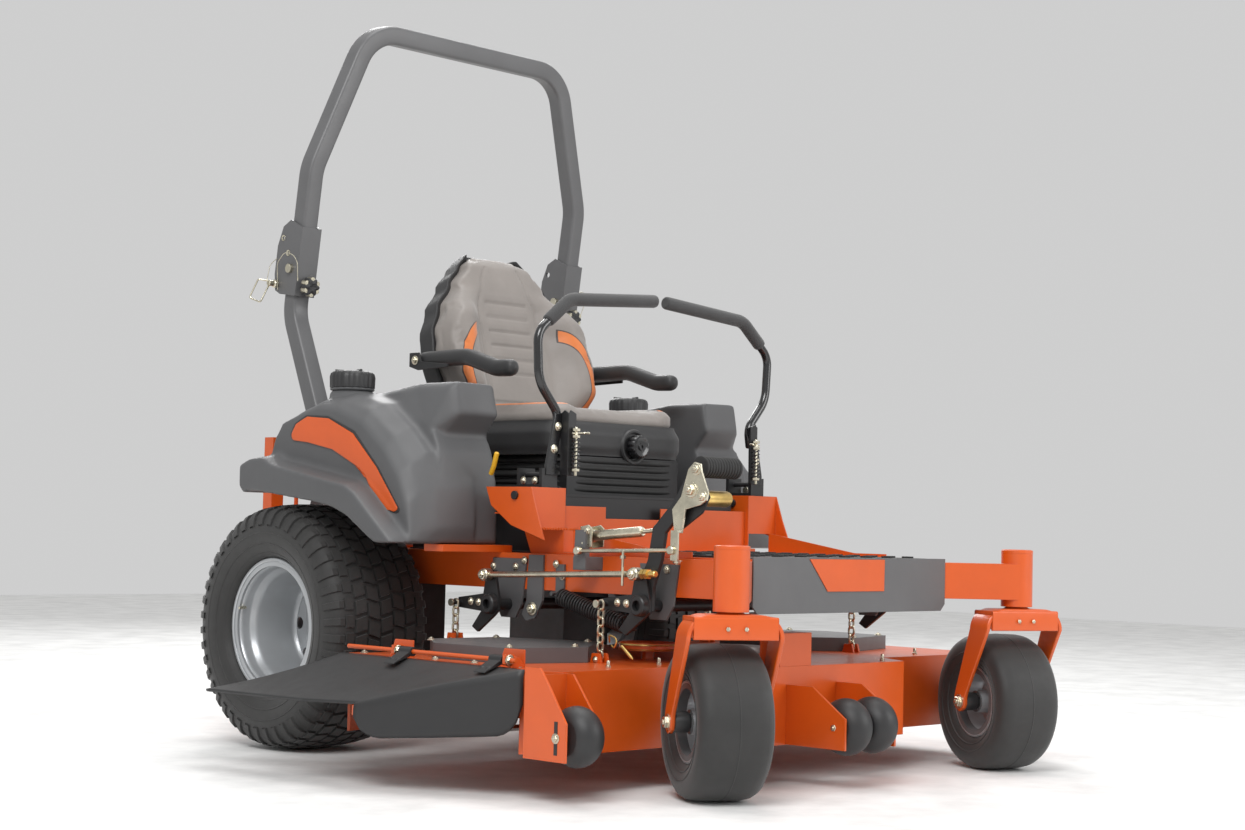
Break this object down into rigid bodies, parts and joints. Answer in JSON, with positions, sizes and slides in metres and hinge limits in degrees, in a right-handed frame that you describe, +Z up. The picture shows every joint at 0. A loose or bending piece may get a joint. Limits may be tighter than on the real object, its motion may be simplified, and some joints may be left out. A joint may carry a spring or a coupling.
{
  "type": "zero turn mower",
  "caption": "Ride-on zero turn lawn mower with a mid-mounted side-discharge deck, twin lap levers, swivelling front casters and a folding roll bar.",
  "frame": {"origin": "centre of the bounding box at ground level", "axes": "+Y points to the machine's rear, +X to its left, +Z up"},
  "size_m": [1.8368, 2.1126, 1.9082],
  "materials": {
    "orange_paint": "satin powder coat",
    "grey_paint": "satin powder coat",
    "black_paint": "satin powder coat",
    "rim_paint": "silver paint",
    "zinc": "zinc plated",
    "cast": "painted casting",
    "engine_alloy": "as cast",
    "black_plastic": "moulded, textured",
    "gloss_black": "gloss",
    "tyre": "matt",
    "mat_rubber": "matt",
    "foam": "foam",
    "vinyl": "grained vinyl"
  },
  "bodies": {
    "chassis": {"frame_rails": "orange_paint", "front_beam": "orange_paint", "caster_bearings": "zinc", "front_cover": "grey_paint", "foot_platform": "orange_paint", "foot_mat": "mat_rubber", "control_towers": "orange_paint", "fuel_tank_right": "black_plastic", "fuel_tank_left": "black_plastic", "badge_plates": "orange_paint", "rops_uprights": "grey_paint", "rops_saddles": "grey_paint", "rops_fasteners": "zinc", "engine_block": "engine_alloy", "engine_shroud": "black_plastic", "muffler": "cast", "engine_guard": "orange_paint", "transaxles": "cast", "linkage_brackets": "grey_paint", "assist_spring": "zinc", "seat_base": "black_paint"},
    "rops_hoop": {"rops_hoop": "grey_paint"},
    "deck": {"deck_shell": "orange_paint", "belt_covers": "grey_paint", "deck_brackets": "orange_paint", "deck_chains": "zinc"},
    "chute": {"discharge_chute": "black_plastic"},
    "lift_pedal": {"lift_pedal": "black_paint"},
    "lift_rear_shaft": {"lift_rear_shaft": "black_paint"},
    "lift_rod": {"lift_rod": "zinc"},
    "seat": {"seat_shell": "black_plastic", "seat_cushion": "vinyl", "seat_backrest": "vinyl"},
    "seat_knob": {"seat_knob": "black_plastic"},
    "rear_wheel_right": {"rear_tyre_right": "tyre", "rear_rim_right": "rim_paint"},
    "caster_right": {"caster_fork_right": "orange_paint"},
    "caster_wheel_right": {"caster_tyre_right": "tyre", "caster_rim_right": "grey_paint"},
    "lever_carrier_right": {"lever_carrier_right": "zinc"},
    "lever_right": {"control_lever_right": "gloss_black", "lever_grip_right": "foam"},
    "fuel_cap_right": {"fuel_cap_right": "black_plastic"},
    "armrest_right": {"armrest_right": "black_plastic"},
    "rear_wheel_left": {"rear_tyre_left": "tyre", "rear_rim_left": "rim_paint"},
    "caster_left": {"caster_fork_left": "orange_paint"},
    "caster_wheel_left": {"caster_tyre_left": "tyre", "caster_rim_left": "grey_paint"},
    "lever_carrier_left": {"lever_carrier_left": "zinc"},
    "lever_left": {"control_lever_left": "gloss_black", "lever_grip_left": "foam"},
    "fuel_cap_left": {"fuel_cap_left": "black_plastic"},
    "armrest_left": {"armrest_left": "black_plastic"},
    "blade_centre": {"blade_centre": "cast"},
    "blade_right": {"blade_right": "cast"},
    "blade_left": {"blade_left": "cast"},
    "roller_right": {"roller_right": "black_plastic"},
    "roller_left": {"roller_left": "black_plastic"},
    "roller_centre": {"roller_centre": "black_plastic"}
  },
  "joints": [
    {"name": "rear_wheel_right_spin", "type": "hinge", "parent": "chassis", "child": "rear_wheel_right", "pos_m": [-0.47557, 0.42126, 0.305], "axis": [1, 0, 0], "continuous": true},
    {"name": "caster_right_swivel", "type": "hinge", "parent": "chassis", "child": "caster_right", "pos_m": [-0.43557, -0.95574, 0.46], "axis": [0, 0, 1], "continuous": true},
    {"name": "caster_right_spin", "type": "hinge", "parent": "caster_right", "child": "caster_wheel_right", "pos_m": [-0.39457, -0.88473, 0.165], "axis": [0.866, -0.5, 0], "continuous": true},
    {"name": "lever_right_drive", "type": "hinge", "parent": "chassis", "child": "lever_carrier_right", "pos_m": [-0.28957, -0.19874, 0.64], "axis": [1, 0, 0], "range_deg": [-15, 15]},
    {"name": "lever_right_swing", "type": "hinge", "parent": "lever_carrier_right", "child": "lever_right", "pos_m": [-0.28957, -0.19874, 0.69], "axis": [0, -1, 0], "range_deg": [0, 35]},
    {"name": "fuel_cap_right_turn", "type": "hinge", "parent": "chassis", "child": "fuel_cap_right", "pos_m": [-0.45457, 0.31126, 0.925], "axis": [0, 0, 1], "continuous": true},
    {"name": "armrest_right_flip", "type": "hinge", "parent": "seat", "child": "armrest_right", "pos_m": [-0.20457, 0.33526, 0.99], "axis": [-1, 0, 0], "range_deg": [0, 85]},
    {"name": "rear_wheel_left_spin", "type": "hinge", "parent": "chassis", "child": "rear_wheel_left", "pos_m": [0.64643, 0.42126, 0.305], "axis": [1, 0, 0], "continuous": true},
    {"name": "caster_left_swivel", "type": "hinge", "parent": "chassis", "child": "caster_left", "pos_m": [0.60643, -0.95574, 0.46], "axis": [0, 0, 1], "continuous": true},
    {"name": "caster_left_spin", "type": "hinge", "parent": "caster_left", "child": "caster_wheel_left", "pos_m": [0.63847, -0.88026, 0.165], "axis": [0.9205, -0.3907, 0], "continuous": true},
    {"name": "lever_left_drive", "type": "hinge", "parent": "chassis", "child": "lever_carrier_left", "pos_m": [0.46043, -0.19874, 0.64], "axis": [1, 0, 0], "range_deg": [-15, 15]},
    {"name": "lever_left_swing", "type": "hinge", "parent": "lever_carrier_left", "child": "lever_left", "pos_m": [0.46043, -0.19874, 0.69], "axis": [0, 1, 0], "range_deg": [0, 35]},
    {"name": "fuel_cap_left_turn", "type": "hinge", "parent": "chassis", "child": "fuel_cap_left", "pos_m": [0.64543, 0.42126, 0.925], "axis": [0, 0, 1], "continuous": true},
    {"name": "armrest_left_flip", "type": "hinge", "parent": "seat", "child": "armrest_left", "pos_m": [0.37543, 0.33526, 0.99], "axis": [-1, 0, 0], "range_deg": [0, 85]},
    {"name": "rops_fold", "type": "hinge", "parent": "chassis", "child": "rops_hoop", "pos_m": [0.08543, 0.62626, 1.23], "axis": [-1, 0, 0], "range_deg": [0, 90]},
    {"name": "seat_slide", "type": "slide", "parent": "chassis", "child": "seat", "axis": [0, 1, 0], "range_m": [-0.075, 0.075]},
    {"name": "seat_knob_turn", "type": "hinge", "parent": "seat", "child": "seat_knob", "pos_m": [0.11543, -0.13874, 0.775], "axis": [0, 1, 0], "continuous": true},
    {"name": "deck_lift", "type": "slide", "parent": "chassis", "child": "deck", "axis": [0, 0, 1], "range_m": [-0.065, 0.035], "deforming": ["deck_chains", "assist_spring"]},
    {"name": "blade_centre_spin", "type": "hinge", "parent": "deck", "child": "blade_centre", "pos_m": [0.08543, -0.50874, 0.108], "axis": [0, 0, 1], "continuous": true},
    {"name": "blade_right_spin", "type": "hinge", "parent": "deck", "child": "blade_right", "pos_m": [-0.40957, -0.33874, 0.108], "axis": [0, 0, 1], "continuous": true},
    {"name": "blade_left_spin", "type": "hinge", "parent": "deck", "child": "blade_left", "pos_m": [0.58043, -0.33874, 0.108], "axis": [0, 0, 1], "continuous": true},
    {"name": "chute_flip", "type": "hinge", "parent": "deck", "child": "chute", "pos_m": [-0.71457, -0.31874, 0.285], "axis": [0, 1, 0], "range_deg": [0, 85]},
    {"name": "lift_pedal_turn", "type": "hinge", "parent": "chassis", "child": "lift_pedal", "pos_m": [0.08543, -0.61374, 0.397], "axis": [1, 0, 0], "range_deg": [-35, 20]},
    {"name": "lift_rear_shaft_turn", "type": "hinge", "parent": "chassis", "child": "lift_rear_shaft", "pos_m": [0.08543, -0.11574, 0.38], "axis": [1, 0, 0], "range_deg": [-35, 20]},
    {"name": "lift_rod_swing", "type": "hinge", "parent": "lift_pedal", "child": "lift_rod", "pos_m": [-0.36457, -0.60874, 0.467], "axis": [1, 0, 0], "range_deg": [-20, 35]},
    {"name": "roller_right_spin", "type": "hinge", "parent": "deck", "child": "roller_right", "pos_m": [-0.68757, -0.76574, 0.139], "axis": [1, 0, 0], "continuous": true},
    {"name": "roller_left_spin", "type": "hinge", "parent": "deck", "child": "roller_left", "pos_m": [0.85843, -0.76574, 0.139], "axis": [1, 0, 0], "continuous": true},
    {"name": "roller_centre_spin", "type": "hinge", "parent": "deck", "child": "roller_centre", "pos_m": [0.03143, -0.93074, 0.139], "axis": [1, 0, 0], "continuous": true}
  ],
  "couplings": [
    {"joint": "lift_pedal_turn", "follows": "deck_lift", "rad_per_m": 9.0909},
    {"joint": "lift_rear_shaft_turn", "follows": "deck_lift", "rad_per_m": 9.0909},
    {"joint": "lift_rod_swing", "follows": "deck_lift", "rad_per_m": -9.0909},
    {"joint": "blade_right_spin", "follows": "blade_centre_spin", "ratio": 1},
    {"joint": "blade_left_spin", "follows": "blade_centre_spin", "ratio": 1}
  ]
}
